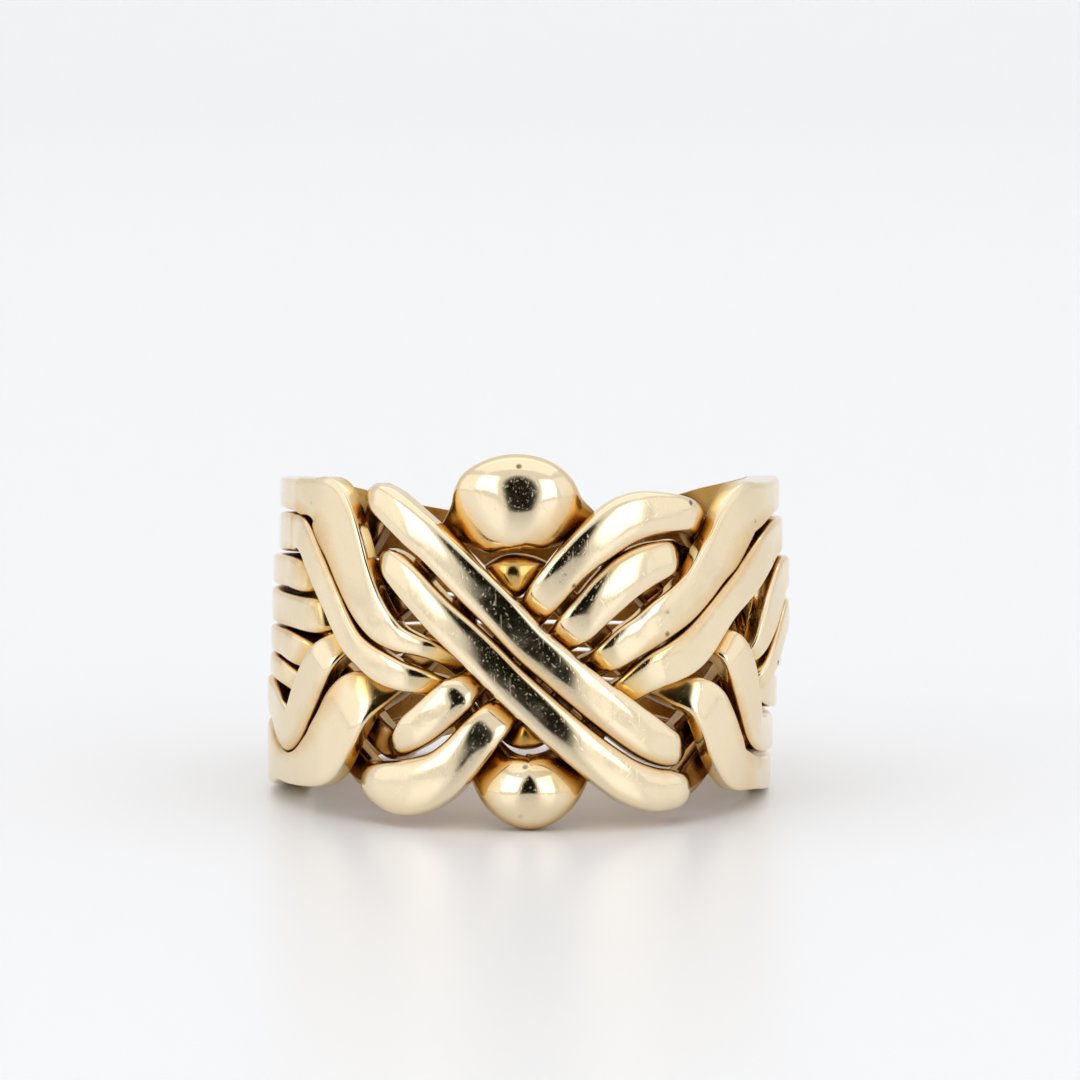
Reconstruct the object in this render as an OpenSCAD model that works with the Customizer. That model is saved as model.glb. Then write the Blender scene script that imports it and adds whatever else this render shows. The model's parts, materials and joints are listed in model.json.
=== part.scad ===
// Puzzle ring of eight closed gold bands, woven into a knot across the front.
// Side by side the bands make the shoulders and the back. Every strand of the knot is double.
// The ring lies on its side and leans back on the lower boss of the knot.

/* [Finger hole] */
// Inside radius of the ring
bore_r = 9.9; // [8:0.1:12]

/* [Shoulders] */
// Thickness from the finger hole to the outside of the shoulders
wall = 2.1; // [1.8:0.05:2.6]
// Half the width of the stack of bands at the sides, along the finger
shoulder_half = 7.2; // [6:0.1:8.5]

/* [Back] */
// Half the width of the stack of bands at the back
back_half = 5; // [4:0.1:6]
// Thickness of a band at the back
back_thick = 1.35; // [1:0.05:1.8]
// Open slit between two bands at the back
back_slit = 0.15; // [0.1:0.05:0.5]

/* [Play] */
// Play between bands that touch on the real ring
play = 0.1; // [0.06:0.01:0.16]

/* [Hidden] */
NODES = ["vee_band_small", "vee_band_big", "cross_band_upper", "cross_band_lower",
    "under_band_upper", "under_band_lower", "arch_band_big", "arch_band_small"];

// Columns of a band's table. Azimuth is in degrees from the middle of the knot, positive to the right.
// Height is a share of shoulder_half, width a share of pitch, and inner and outer are the depths of
// the two faces as shares of wall, from 0 at the finger hole. Square is 0 for a round section.
AZIMUTH = 0;
HEIGHT_SHARE = 1;
WIDTH_SHARE = 2;
INNER_SHARE = 3;
OUTER_SHARE = 4;
SQUARE = 5;

bands = len(NODES);
pitch = 2 * shoulder_half / bands;
outer_r = bore_r + wall;
// The tables' azimuths hold for a shoulder this wide, as a share of the outer radius
table_ratio = 0.6;
spread = shoulder_half / outer_r / table_ratio;
// Depth that a section reaches past the finger hole before the hole is cut, as a share of wall
trim = -0.08;
sides = 12;
knot_step = 2.5;
knot_end = 75;
side_end = 92;
side_steps = 3;
back_steps = 8;

vee_small_run = [
    [-92, 0.88, 0.86, trim, 0.70, 1.0],
    [-68, 0.885, 0.86, trim, 0.88, 1.0],
    [-59, 0.872, 1.02, trim, 1.00, 1.0],
    [-54, 0.862, 1.09, 0.42, 1.00, 1.0],
    [-50, 0.825, 1.60, 0.50, 1.00, 0.9],
    [-47, 0.70, 1.62, 0.50, 1.00, 0.9],
    [-44.3, 0.565, 1.44, 0.50, 1.00, 0.8],
    [-41.8, 0.41, 1.28, 0.50, 1.00, 0.7],
    [-38.9, 0.26, 1.16, 0.50, 1.00, 0.6],
    [-36.4, 0.16, 1.07, 0.50, 1.00, 0.5],
    [-33.5, 0.08, 0.95, 0.50, 1.00, 0.5],
    [-30, 0.015, 0.76, 0.48, 0.96, 0.4],
    [-26, -0.02, 0.62, 0.46, 0.92, 0.3],
    [-23, -0.045, 0.56, 0.46, 0.86, 0.3],
    [-20.5, -0.08, 0.54, 0.32, 0.70, 0.3],
    [-18, -0.125, 0.59, 0.05, 0.50, 0.3],
    [-15, -0.205, 0.57, trim, 0.34, 0.3],
    [-11, -0.35, 0.57, trim, 0.31, 0.3],
    [-7, -0.48, 0.67, trim, 0.34, 0.3],
    [-4, -0.545, 0.81, trim, 0.42, 0.3],
    [-1, -0.575, 0.78, trim, 0.60, 0.2],
    [2, -0.545, 0.83, trim, 0.50, 0.3],
    [6, -0.43, 0.78, trim, 0.42, 0.3],
    [10, -0.29, 0.78, trim, 0.42, 0.3],
    [14, -0.175, 0.83, trim, 0.46, 0.3],
    [16, -0.13, 0.76, 0.24, 0.66, 0.3],
    [18, -0.09, 0.85, 0.42, 0.86, 0.3],
    [22, -0.01, 1.00, 0.47, 0.93, 0.4],
    [26, 0.055, 1.05, 0.48, 0.96, 0.4],
    [30, 0.135, 1.12, 0.50, 1.00, 0.5],
    [35, 0.225, 1.12, 0.50, 1.00, 0.7],
    [39.6, 0.335, 1.12, 0.50, 1.00, 0.8],
    [43.4, 0.455, 1.24, 0.50, 1.00, 0.9],
    [47.2, 0.56, 1.42, 0.50, 1.00, 0.9],
    [51, 0.697, 1.53, 0.50, 1.00, 0.9],
    [54.5, 0.785, 1.50, 0.42, 1.00, 1.0],
    [60, 0.815, 1.26, 0.15, 0.98, 1.0],
    [68, 0.85, 0.98, trim, 0.90, 1.0],
    [78, 0.87, 0.90, trim, 0.80, 1.0],
    [92, 0.88, 0.90, trim, 0.70, 1.0]
];

vee_big_run = [
    [-92, 0.63, 1.05, trim, 0.72, 1.0],
    [-70, 0.65, 1.03, trim, 0.85, 1.0],
    [-64, 0.645, 1.00, trim, 0.93, 1.0],
    [-60, 0.635, 0.94, 0.38, 0.98, 0.9],
    [-57, 0.582, 0.88, 0.50, 1.00, 0.9],
    [-54.5, 0.483, 0.88, 0.50, 1.00, 0.8],
    [-51.3, 0.355, 0.85, 0.50, 1.00, 0.8],
    [-48, 0.22, 0.80, 0.50, 1.00, 0.7],
    [-45.3, 0.10, 0.78, 0.50, 1.00, 0.6],
    [-42.3, -0.01, 0.78, 0.50, 1.00, 0.6],
    [-39, -0.085, 0.80, 0.50, 1.00, 0.5],
    [-34, -0.165, 0.87, 0.50, 1.00, 0.5],
    [-29.5, -0.215, 0.82, 0.48, 0.97, 0.4],
    [-26, -0.24, 0.74, 0.44, 0.88, 0.3],
    [-23, -0.265, 0.66, 0.26, 0.70, 0.3],
    [-20.8, -0.305, 0.73, trim, 0.50, 0.3],
    [-18.5, -0.36, 0.74, trim, 0.44, 0.3],
    [-16, -0.455, 0.79, trim, 0.40, 0.3],
    [-12, -0.64, 1.02, trim, 0.44, 0.3],
    [-9, -0.762, 1.32, trim, 0.62, 0.2],
    [-5, -0.862, 1.72, 0.02, 0.95, 0.1],
    [0, -0.915, 1.98, 0.02, 1.12, 0.0],
    [5, -0.86, 1.76, 0.02, 0.95, 0.1],
    [9, -0.77, 1.36, trim, 0.60, 0.2],
    [12.5, -0.65, 1.00, trim, 0.44, 0.3],
    [16, -0.52, 0.83, trim, 0.42, 0.3],
    [20, -0.385, 0.85, trim, 0.50, 0.3],
    [24, -0.275, 0.85, 0.30, 0.78, 0.3],
    [28.5, -0.185, 1.00, 0.46, 0.96, 0.4],
    [33, -0.13, 1.08, 0.50, 1.00, 0.5],
    [37, -0.075, 1.15, 0.50, 1.00, 0.5],
    [40, -0.01, 1.12, 0.50, 1.00, 0.6],
    [44.5, 0.115, 1.02, 0.50, 1.00, 0.7],
    [48.5, 0.22, 0.98, 0.50, 1.00, 0.8],
    [53, 0.312, 1.04, 0.50, 1.00, 0.8],
    [57.5, 0.405, 1.13, 0.50, 1.00, 0.9],
    [63, 0.51, 1.12, 0.46, 1.00, 0.9],
    [69, 0.58, 1.06, 0.20, 0.95, 1.0],
    [76, 0.61, 1.00, trim, 0.88, 1.0],
    [92, 0.625, 0.94, trim, 0.78, 1.0]
];

cross_upper_run = [
    [-92, 0.40, 0.83, trim, 0.85, 1.0],
    [-68, 0.40, 0.86, trim, 0.95, 1.0],
    [-61.5, 0.38, 0.85, trim, 0.95, 0.95],
    [-59.4, 0.362, 0.72, trim, 0.66, 0.7],
    [-57.4, 0.362, 0.75, trim, 0.44, 0.4],
    [-51, 0.44, 0.85, trim, 0.44, 0.4],
    [-46, 0.56, 0.83, trim, 0.44, 0.4],
    [-41, 0.71, 0.83, trim, 0.44, 0.4],
    [-39, 0.80, 0.85, trim, 0.50, 0.3],
    [-36.8, 0.855, 0.80, 0.10, 0.82, 0.2],
    [-34.4, 0.865, 0.90, 0.38, 1.06, 0.2],
    [-31, 0.82, 1.00, 0.48, 1.15, 0.3],
    [-25, 0.69, 1.05, 0.52, 1.20, 0.4],
    [-20, 0.575, 1.04, 0.52, 1.22, 0.4],
    [-12, 0.35, 1.09, 0.52, 1.22, 0.4],
    [-6, 0.18, 1.09, 0.54, 1.22, 0.4],
    [0, -0.005, 1.08, 0.56, 1.22, 0.4],
    [5, -0.13, 1.08, 0.56, 1.22, 0.4],
    [9, -0.23, 1.10, 0.54, 1.22, 0.4],
    [17, -0.41, 1.16, 0.52, 1.20, 0.4],
    [24, -0.55, 1.20, 0.52, 1.18, 0.4],
    [28.5, -0.625, 1.12, 0.50, 1.15, 0.35],
    [32, -0.66, 1.00, 0.40, 1.05, 0.3],
    [35, -0.66, 0.86, 0.12, 0.78, 0.2],
    [38, -0.62, 0.87, trim, 0.50, 0.3],
    [42, -0.55, 0.85, trim, 0.44, 0.4],
    [48, -0.42, 0.85, trim, 0.44, 0.4],
    [54, -0.305, 0.75, trim, 0.44, 0.4],
    [58.5, -0.205, 0.60, trim, 0.46, 0.4],
    [60.3, -0.14, 0.56, 0.32, 0.68, 0.5],
    [62, -0.065, 0.66, 0.45, 0.92, 0.6],
    [65.3, 0.075, 0.96, 0.50, 1.00, 0.7],
    [69, 0.205, 1.12, 0.50, 1.00, 0.8],
    [74, 0.33, 1.08, 0.45, 1.00, 0.9],
    [80, 0.38, 0.92, 0.10, 1.00, 1.0],
    [92, 0.38, 0.89, trim, 0.90, 1.0]
];

cross_lower_run = [
    [-92, 0.18, 0.95, trim, 0.88, 1.0],
    [-68, 0.158, 0.93, trim, 0.95, 1.0],
    [-56, 0.135, 0.95, trim, 0.95, 0.9],
    [-54, 0.135, 0.92, trim, 0.80, 0.7],
    [-51.6, 0.15, 0.86, trim, 0.48, 0.4],
    [-47, 0.19, 0.72, trim, 0.44, 0.4],
    [-42, 0.27, 0.67, trim, 0.44, 0.4],
    [-38, 0.35, 0.69, trim, 0.44, 0.4],
    [-35.8, 0.425, 0.79, trim, 0.48, 0.3],
    [-33.6, 0.475, 0.72, 0.20, 0.80, 0.2],
    [-31.7, 0.475, 0.82, 0.40, 1.02, 0.2],
    [-29.5, 0.44, 0.93, 0.47, 1.13, 0.3],
    [-26, 0.35, 0.97, 0.50, 1.18, 0.4],
    [-22.5, 0.25, 0.99, 0.52, 1.20, 0.4],
    [-18.5, 0.14, 1.02, 0.54, 1.22, 0.4],
    [-14, 0.025, 1.06, 0.58, 1.22, 0.4],
    [-9, -0.11, 1.06, 0.58, 1.22, 0.4],
    [-4, -0.255, 1.06, 0.58, 1.22, 0.4],
    [2, -0.415, 1.08, 0.54, 1.22, 0.4],
    [8, -0.57, 1.10, 0.52, 1.22, 0.4],
    [14.5, -0.72, 1.13, 0.52, 1.20, 0.4],
    [21, -0.845, 1.18, 0.52, 1.18, 0.4],
    [27, -0.905, 1.18, 0.50, 1.15, 0.35],
    [31.5, -0.915, 1.10, 0.48, 1.10, 0.3],
    [35, -0.915, 0.96, 0.32, 0.98, 0.2],
    [38, -0.905, 0.80, trim, 0.62, 0.2],
    [42, -0.86, 0.85, trim, 0.45, 0.4],
    [48, -0.73, 0.85, trim, 0.44, 0.4],
    [54, -0.565, 0.79, trim, 0.44, 0.4],
    [59.5, -0.405, 0.62, trim, 0.44, 0.4],
    [62.5, -0.315, 0.54, 0.12, 0.60, 0.5],
    [64.5, -0.25, 0.58, 0.45, 0.95, 0.6],
    [67, -0.18, 0.62, 0.50, 1.00, 0.7],
    [71, -0.07, 0.70, 0.50, 1.00, 0.8],
    [76, 0.055, 0.74, 0.50, 1.00, 0.9],
    [81, 0.12, 0.80, 0.30, 1.00, 1.0],
    [92, 0.13, 0.89, trim, 0.88, 1.0]
];

under_upper_run = [
    [-92, -0.03, 0.70, trim, 0.90, 1.0],
    [-72, -0.042, 0.79, trim, 0.97, 1.0],
    [-64.5, -0.08, 0.86, trim, 0.92, 0.9],
    [-59.5, -0.14, 0.76, trim, 0.56, 0.5],
    [-52, -0.25, 0.83, trim, 0.44, 0.4],
    [-46, -0.42, 0.83, trim, 0.44, 0.4],
    [-40, -0.57, 0.83, trim, 0.44, 0.4],
    [-35.5, -0.645, 0.83, trim, 0.46, 0.3],
    [-32, -0.65, 0.74, 0.02, 0.62, 0.2],
    [-29, -0.61, 0.84, 0.30, 0.95, 0.2],
    [-26, -0.555, 1.00, 0.48, 1.10, 0.3],
    [-23, -0.495, 1.08, 0.50, 1.12, 0.3],
    [-19.5, -0.415, 1.08, 0.50, 1.12, 0.3],
    [-16, -0.325, 1.04, 0.50, 1.08, 0.3],
    [-14, -0.27, 0.86, 0.44, 0.92, 0.1],
    [-12, -0.21, 0.74, 0.36, 0.62, 0.2],
    [-10, -0.145, 0.78, 0.02, 0.46, 0.3],
    [-7.5, -0.07, 0.81, trim, 0.44, 0.3],
    [-4, 0.03, 0.81, trim, 0.44, 0.3],
    [-1.5, 0.105, 0.81, trim, 0.44, 0.3],
    [0, 0.155, 0.85, 0.02, 0.50, 0.3],
    [2, 0.23, 0.92, 0.34, 0.82, 0.3],
    [4.2, 0.315, 1.00, 0.45, 1.00, 0.3],
    [9, 0.475, 1.06, 0.50, 1.10, 0.3],
    [14, 0.605, 1.17, 0.52, 1.15, 0.3],
    [19.5, 0.72, 1.27, 0.52, 1.15, 0.3],
    [24, 0.77, 1.26, 0.52, 1.15, 0.3],
    [29, 0.785, 1.12, 0.52, 1.13, 0.3],
    [35.5, 0.775, 0.96, 0.46, 1.05, 0.3],
    [39.8, 0.745, 0.84, 0.28, 0.84, 0.3],
    [43, 0.70, 0.80, 0.02, 0.56, 0.3],
    [46.5, 0.635, 0.80, trim, 0.46, 0.4],
    [50, 0.57, 0.83, trim, 0.44, 0.4],
    [56, 0.44, 0.77, trim, 0.44, 0.4],
    [62, 0.26, 0.72, trim, 0.44, 0.4],
    [68, 0.07, 0.72, trim, 0.44, 0.4],
    [73, -0.05, 0.74, trim, 0.44, 0.6],
    [79, -0.12, 0.78, trim, 0.66, 0.9],
    [92, -0.125, 0.86, trim, 0.80, 1.0]
];

under_lower_run = [
    [-92, -0.19, 0.64, trim, 0.90, 1.0],
    [-74, -0.22, 0.67, trim, 0.97, 1.0],
    [-68, -0.29, 0.67, trim, 0.75, 0.8],
    [-63, -0.39, 0.67, trim, 0.46, 0.5],
    [-57, -0.53, 0.75, trim, 0.44, 0.4],
    [-51, -0.68, 0.83, trim, 0.44, 0.4],
    [-45, -0.80, 0.86, trim, 0.44, 0.4],
    [-41.5, -0.845, 0.86, trim, 0.55, 0.3],
    [-38, -0.87, 1.05, 0.02, 0.85, 0.2],
    [-34, -0.885, 1.27, 0.25, 1.05, 0.2],
    [-29.5, -0.90, 1.46, 0.38, 1.12, 0.3],
    [-24.5, -0.88, 1.50, 0.42, 1.15, 0.3],
    [-19, -0.81, 1.36, 0.48, 1.15, 0.3],
    [-15, -0.705, 1.20, 0.50, 1.12, 0.3],
    [-10.5, -0.555, 1.10, 0.50, 1.06, 0.3],
    [-8, -0.48, 1.02, 0.46, 0.92, 0.3],
    [-6.3, -0.425, 0.90, 0.42, 0.74, 0.3],
    [-4.8, -0.375, 0.74, 0.28, 0.54, 0.2],
    [-2.8, -0.305, 0.81, trim, 0.46, 0.3],
    [0, -0.22, 0.81, trim, 0.44, 0.3],
    [5, -0.07, 0.81, trim, 0.46, 0.3],
    [6.5, -0.015, 0.76, 0.08, 0.56, 0.3],
    [8.2, 0.04, 0.88, 0.38, 0.82, 0.3],
    [10.5, 0.105, 1.04, 0.47, 1.02, 0.3],
    [14, 0.21, 1.12, 0.50, 1.08, 0.3],
    [17, 0.295, 1.20, 0.50, 1.10, 0.3],
    [21, 0.39, 1.24, 0.50, 1.10, 0.3],
    [26, 0.465, 1.18, 0.50, 1.08, 0.3],
    [31, 0.505, 1.00, 0.46, 1.02, 0.3],
    [34.2, 0.525, 0.84, 0.18, 0.76, 0.2],
    [37.5, 0.515, 0.76, trim, 0.50, 0.3],
    [41, 0.475, 0.81, trim, 0.46, 0.4],
    [46, 0.40, 0.83, trim, 0.44, 0.4],
    [51, 0.30, 0.83, trim, 0.44, 0.4],
    [56, 0.15, 0.77, trim, 0.42, 0.4],
    [62, -0.04, 0.70, trim, 0.32, 0.4],
    [67, -0.21, 0.70, trim, 0.38, 0.4],
    [72, -0.31, 0.75, trim, 0.46, 0.6],
    [79, -0.36, 0.83, trim, 0.62, 0.9],
    [92, -0.375, 0.89, trim, 0.70, 1.0]
];

arch_big_run = [
    [-92, -0.38, 0.92, trim, 1.00, 1.0],
    [-80, -0.43, 1.00, trim, 1.00, 1.0],
    [-72, -0.53, 1.10, 0.45, 1.00, 1.0],
    [-67.5, -0.585, 1.15, 0.50, 1.00, 1.0],
    [-64, -0.55, 1.20, 0.50, 1.00, 0.9],
    [-60.5, -0.43, 1.24, 0.50, 1.00, 0.9],
    [-57.5, -0.315, 1.24, 0.50, 1.00, 0.8],
    [-54.3, -0.205, 1.16, 0.50, 1.00, 0.8],
    [-51.8, -0.12, 1.02, 0.45, 0.98, 0.7],
    [-49.5, -0.055, 0.82, 0.15, 0.78, 0.5],
    [-47, -0.01, 0.79, trim, 0.50, 0.4],
    [-44, 0.04, 0.71, trim, 0.44, 0.4],
    [-40, 0.10, 0.68, trim, 0.44, 0.4],
    [-35, 0.19, 0.72, trim, 0.44, 0.4],
    [-31, 0.285, 0.77, trim, 0.38, 0.4],
    [-27, 0.41, 0.79, trim, 0.40, 0.4],
    [-22, 0.56, 0.83, trim, 0.44, 0.4],
    [-18.5, 0.66, 0.87, trim, 0.46, 0.3],
    [-15.5, 0.71, 1.30, trim, 0.62, 0.3],
    [-12.5, 0.745, 1.94, trim, 0.84, 0.3],
    [-9, 0.805, 2.36, trim, 1.06, 0.25],
    [-4, 0.85, 2.48, trim, 1.20, 0.15],
    [1, 0.84, 2.38, trim, 1.18, 0.15],
    [5.5, 0.785, 2.02, trim, 1.00, 0.2],
    [9.5, 0.74, 1.38, trim, 0.69, 0.2],
    [13.5, 0.695, 0.98, trim, 0.50, 0.3],
    [17, 0.615, 0.89, trim, 0.44, 0.4],
    [22, 0.50, 0.83, trim, 0.44, 0.4],
    [27, 0.38, 0.83, trim, 0.44, 0.4],
    [32, 0.26, 0.83, trim, 0.44, 0.4],
    [37, 0.16, 0.83, trim, 0.44, 0.4],
    [42, 0.08, 0.83, trim, 0.44, 0.4],
    [45.5, 0.035, 0.85, trim, 0.46, 0.4],
    [48, -0.015, 0.78, 0.08, 0.62, 0.5],
    [50.5, -0.065, 1.00, 0.42, 0.97, 0.7],
    [53, -0.155, 1.14, 0.50, 1.00, 0.8],
    [55, -0.275, 1.18, 0.50, 1.00, 0.8],
    [57, -0.41, 1.10, 0.50, 0.97, 0.9],
    [60, -0.545, 1.06, 0.50, 0.90, 1.0],
    [66, -0.61, 0.95, 0.30, 0.76, 1.0],
    [75, -0.625, 0.94, trim, 0.65, 1.0],
    [92, -0.625, 0.94, trim, 0.60, 1.0]
];

arch_small_run = [
    [-92, -0.75, 1.80, trim, 1.00, 1.0],
    [-80, -0.775, 1.50, trim, 1.00, 1.0],
    [-73, -0.805, 1.00, 0.15, 1.00, 1.0],
    [-67.5, -0.825, 0.86, 0.40, 1.00, 1.0],
    [-62, -0.815, 1.00, 0.50, 1.00, 0.9],
    [-56, -0.765, 1.42, 0.50, 1.00, 0.9],
    [-51.5, -0.70, 1.68, 0.50, 1.00, 0.9],
    [-47.5, -0.565, 1.62, 0.50, 1.00, 0.8],
    [-44.5, -0.44, 1.60, 0.48, 0.98, 0.7],
    [-42, -0.365, 1.48, 0.42, 0.92, 0.6],
    [-39.5, -0.33, 1.24, 0.32, 0.82, 0.6],
    [-36.5, -0.295, 0.96, 0.05, 0.60, 0.5],
    [-33.5, -0.245, 0.87, trim, 0.46, 0.4],
    [-29, -0.14, 0.83, trim, 0.42, 0.4],
    [-24, -0.015, 0.81, trim, 0.40, 0.4],
    [-18, 0.14, 0.83, trim, 0.42, 0.4],
    [-12, 0.285, 0.92, trim, 0.44, 0.4],
    [-8, 0.36, 1.10, trim, 0.58, 0.2],
    [-4, 0.402, 1.18, trim, 0.73, 0.1],
    [0, 0.412, 1.00, trim, 0.60, 0.1],
    [3.5, 0.37, 0.92, trim, 0.44, 0.2],
    [7, 0.28, 0.81, trim, 0.36, 0.4],
    [13, 0.13, 0.81, trim, 0.38, 0.4],
    [19, -0.015, 0.77, trim, 0.34, 0.4],
    [25, -0.15, 0.75, trim, 0.40, 0.4],
    [30, -0.245, 0.80, trim, 0.44, 0.4],
    [33.5, -0.29, 0.76, trim, 0.52, 0.4],
    [36.5, -0.325, 0.83, 0.10, 0.70, 0.5],
    [39.5, -0.345, 1.02, 0.42, 0.94, 0.6],
    [42.8, -0.41, 1.26, 0.50, 1.00, 0.7],
    [45.4, -0.52, 1.32, 0.50, 1.00, 0.8],
    [48.4, -0.675, 1.36, 0.50, 0.98, 0.9],
    [52, -0.79, 1.26, 0.50, 0.93, 1.0],
    [58, -0.83, 1.04, 0.30, 0.84, 1.0],
    [66, -0.855, 0.94, trim, 0.68, 1.0],
    [75, -0.875, 0.89, trim, 0.60, 1.0],
    [92, -0.875, 0.92, trim, 0.55, 1.0]
];

RUNS = [vee_small_run, vee_big_run, cross_upper_run, cross_lower_run,
    under_upper_run, under_lower_run, arch_big_run, arch_small_run];

// A number that eases from 0 to 1 as t does
function eased(t) = t * t * (3 - 2 * t);

// Half the width of the stack behind the side, at an azimuth from side_end to 180
function stack_half(az) =
    back_half + (shoulder_half - back_half) * eased((180 - az) / (180 - side_end * spread));

// The row that continues a run round the back, where band i of the stack lies beside its neighbours
function back_row(i, az) =
    let (turned = abs(az) > 180 ? 360 - abs(az) : abs(az))
    let (half = stack_half(turned))
    let (there = 1 - (half - back_half) / (shoulder_half - back_half))
    [az, (1 - (2 * i + 1) / bands) * half / shoulder_half,
        (2 * half / bands - back_slit * there + play) / pitch,
        trim, 0.75 + (back_thick / wall - 0.75) * there, 1];

// The whole run of band i round the ring, a little past 180 degrees at both ends
function whole_run(i) = concat(
    [for (az = [-225, -180, -150, -125]) back_row(i, az)],
    [for (row = RUNS[i]) [for (c = [AZIMUTH:SQUARE]) c == AZIMUTH ? row[c] * spread : row[c]]],
    [for (az = [125, 150, 180, 225]) back_row(i, az)]);

// Slope of a column at row k, from the rows before and after it
function slope(run, k, c) = (run[k + 1][c] - run[k - 1][c]) / (run[k + 1][AZIMUTH] - run[k - 1][AZIMUTH]);

// Value of a column between rows k and k + 1, on a cubic curve through the rows
function between(run, k, c, az) =
    let (gap = run[k + 1][AZIMUTH] - run[k][AZIMUTH], t = (az - run[k][AZIMUTH]) / gap)
    run[k][c] * (1 + 2 * t) * (1 - t) * (1 - t) + run[k + 1][c] * t * t * (3 - 2 * t)
    + gap * (slope(run, k, c) * t * (1 - t) * (1 - t) - slope(run, k + 1, c) * t * t * (1 - t));

// Last row of a run that isn't past an azimuth
function row_at(run, az) = max([for (k = [1:len(run) - 3]) if (run[k][AZIMUTH] <= az) k]);

// The row at any azimuth of a run
function section(run, az) =
    let (k = row_at(run, az))
    [for (c = [AZIMUTH:SQUARE]) c == AZIMUTH ? az : between(run, k, c, az)];

// Direction that points out of the finger hole at an azimuth
function outward(az) = [sin(az), -cos(az), 0];

// Middle of a section
function middle(row) =
    outward(row[AZIMUTH]) * (bore_r + wall * (row[INNER_SHARE] + row[OUTER_SHARE]) / 2)
    + [0, 0, shoulder_half * row[HEIGHT_SHARE]];

function unit(v) = v / norm(v);

// Power that keeps the sign
function signed_pow(v, p) = sign(v) * pow(abs(v), p);

// Ring of points round the section at one azimuth. The section stands across the run, its width and
// thickness lose the play, and its outline goes from an ellipse to a rounded oblong with Square.
function ring_of_points(run, az) =
    let (
        row = section(run, az),
        along = unit(middle(section(run, az + knot_step)) - middle(section(run, az - knot_step))),
        out = unit(outward(az) - along * (outward(az) * along)),
        across = cross(along, out),
        half_w = (row[WIDTH_SHARE] * pitch - play) / 2,
        half_t = (wall * (row[OUTER_SHARE] - row[INNER_SHARE]) - play) / 2,
        power = 2 / (2 + 3 * row[SQUARE]))
    [for (s = [0:sides - 1])
        let (a = 360 * (s + 0.5) / sides)
        middle(row) + across * half_w * signed_pow(cos(a), power) + out * half_t * signed_pow(sin(a), power)];

knot_azimuths = [for (az = [-knot_end:knot_step:knot_end]) az * spread];
side_azimuths = [for (k = [1:side_steps])
    (knot_end + (side_end - knot_end) * k / side_steps) * spread];
back_azimuths = [for (k = [1:2 * back_steps - 1])
    side_end * spread + (360 - 2 * side_end * spread) * k / (2 * back_steps)];
azimuths = concat(
    [for (k = [side_steps - 1:-1:0]) -side_azimuths[k]], knot_azimuths,
    side_azimuths, back_azimuths);

// Points of band i, ring after ring
function band_points(i) =
    let (run = whole_run(i))
    [for (az = azimuths) each ring_of_points(run, az > 180 ? az - 360 : az)];

rings = len(azimuths);
band_faces = [for (k = [0:rings - 1], s = [0:sides - 1])
    let (
        n = (k + 1) % rings, t = (s + 1) % sides,
        a = k * sides + s, b = k * sides + t, c = n * sides + t, d = n * sides + s)
    each [[a, b, c], [a, c, d]]];

// Points of all bands outside the finger hole, which say how the ring comes to rest
all_points = [for (i = [0:bands - 1]) each [for (p = band_points(i)) if (norm([p.x, p.y]) > bore_r) p]];
function low_front(lean) = min([for (p = all_points) if (p.y < 0) p.z * cos(lean) - p.y * sin(lean)]);
function low_back(lean) = min([for (p = all_points) if (p.y > 0) p.z * cos(lean) - p.y * sin(lean)]);
// Lean at which front and back are equally low, by halving
function resting_lean(lo, hi, tries) =
    let (mid = (lo + hi) / 2)
    tries == 0 ? mid
    : low_front(mid) > low_back(mid) ? resting_lean(lo, mid, tries - 1)
    : resting_lean(mid, hi, tries - 1);
lean = resting_lean(0, 20, 14);
leaned_y = [for (p = all_points) p.y * cos(lean) + p.z * sin(lean)];
seat = [
    -(min([for (p = all_points) p.x]) + max([for (p = all_points) p.x])) / 2,
    -(min(leaned_y) + max(leaned_y)) / 2,
    -min(low_front(lean), low_back(lean))];

// Leans the ring back and sets it down
module at_rest() {
    translate(seat) rotate([-lean, 0, 0]) children();
}

// One closed band, with the finger hole cut out of it
module band(i) {
    at_rest() difference() {
        polyhedron(points = band_points(i), faces = band_faces, convexity = 6);
        cylinder(h = 4 * shoulder_half, r = bore_r, center = true, $fn = 144);
    }
}

module vee_band_small() {
    color("#dcc08a") band(0);
}

module vee_band_big() {
    color("#d8b97e") band(1);
}

module cross_band_upper() {
    color("#e3cb9b") band(2);
}

module cross_band_lower() {
    color("#e0c792") band(3);
}

module under_band_upper() {
    color("#cfae70") band(4);
}

module under_band_lower() {
    color("#cba968") band(5);
}

module arch_band_big() {
    color("#d5b676") band(6);
}

module arch_band_small() {
    color("#d2b170") band(7);
}

vee_band_small();
vee_band_big();
cross_band_upper();
cross_band_lower();
under_band_upper();
under_band_lower();
arch_band_big();
arch_band_small();
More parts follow.
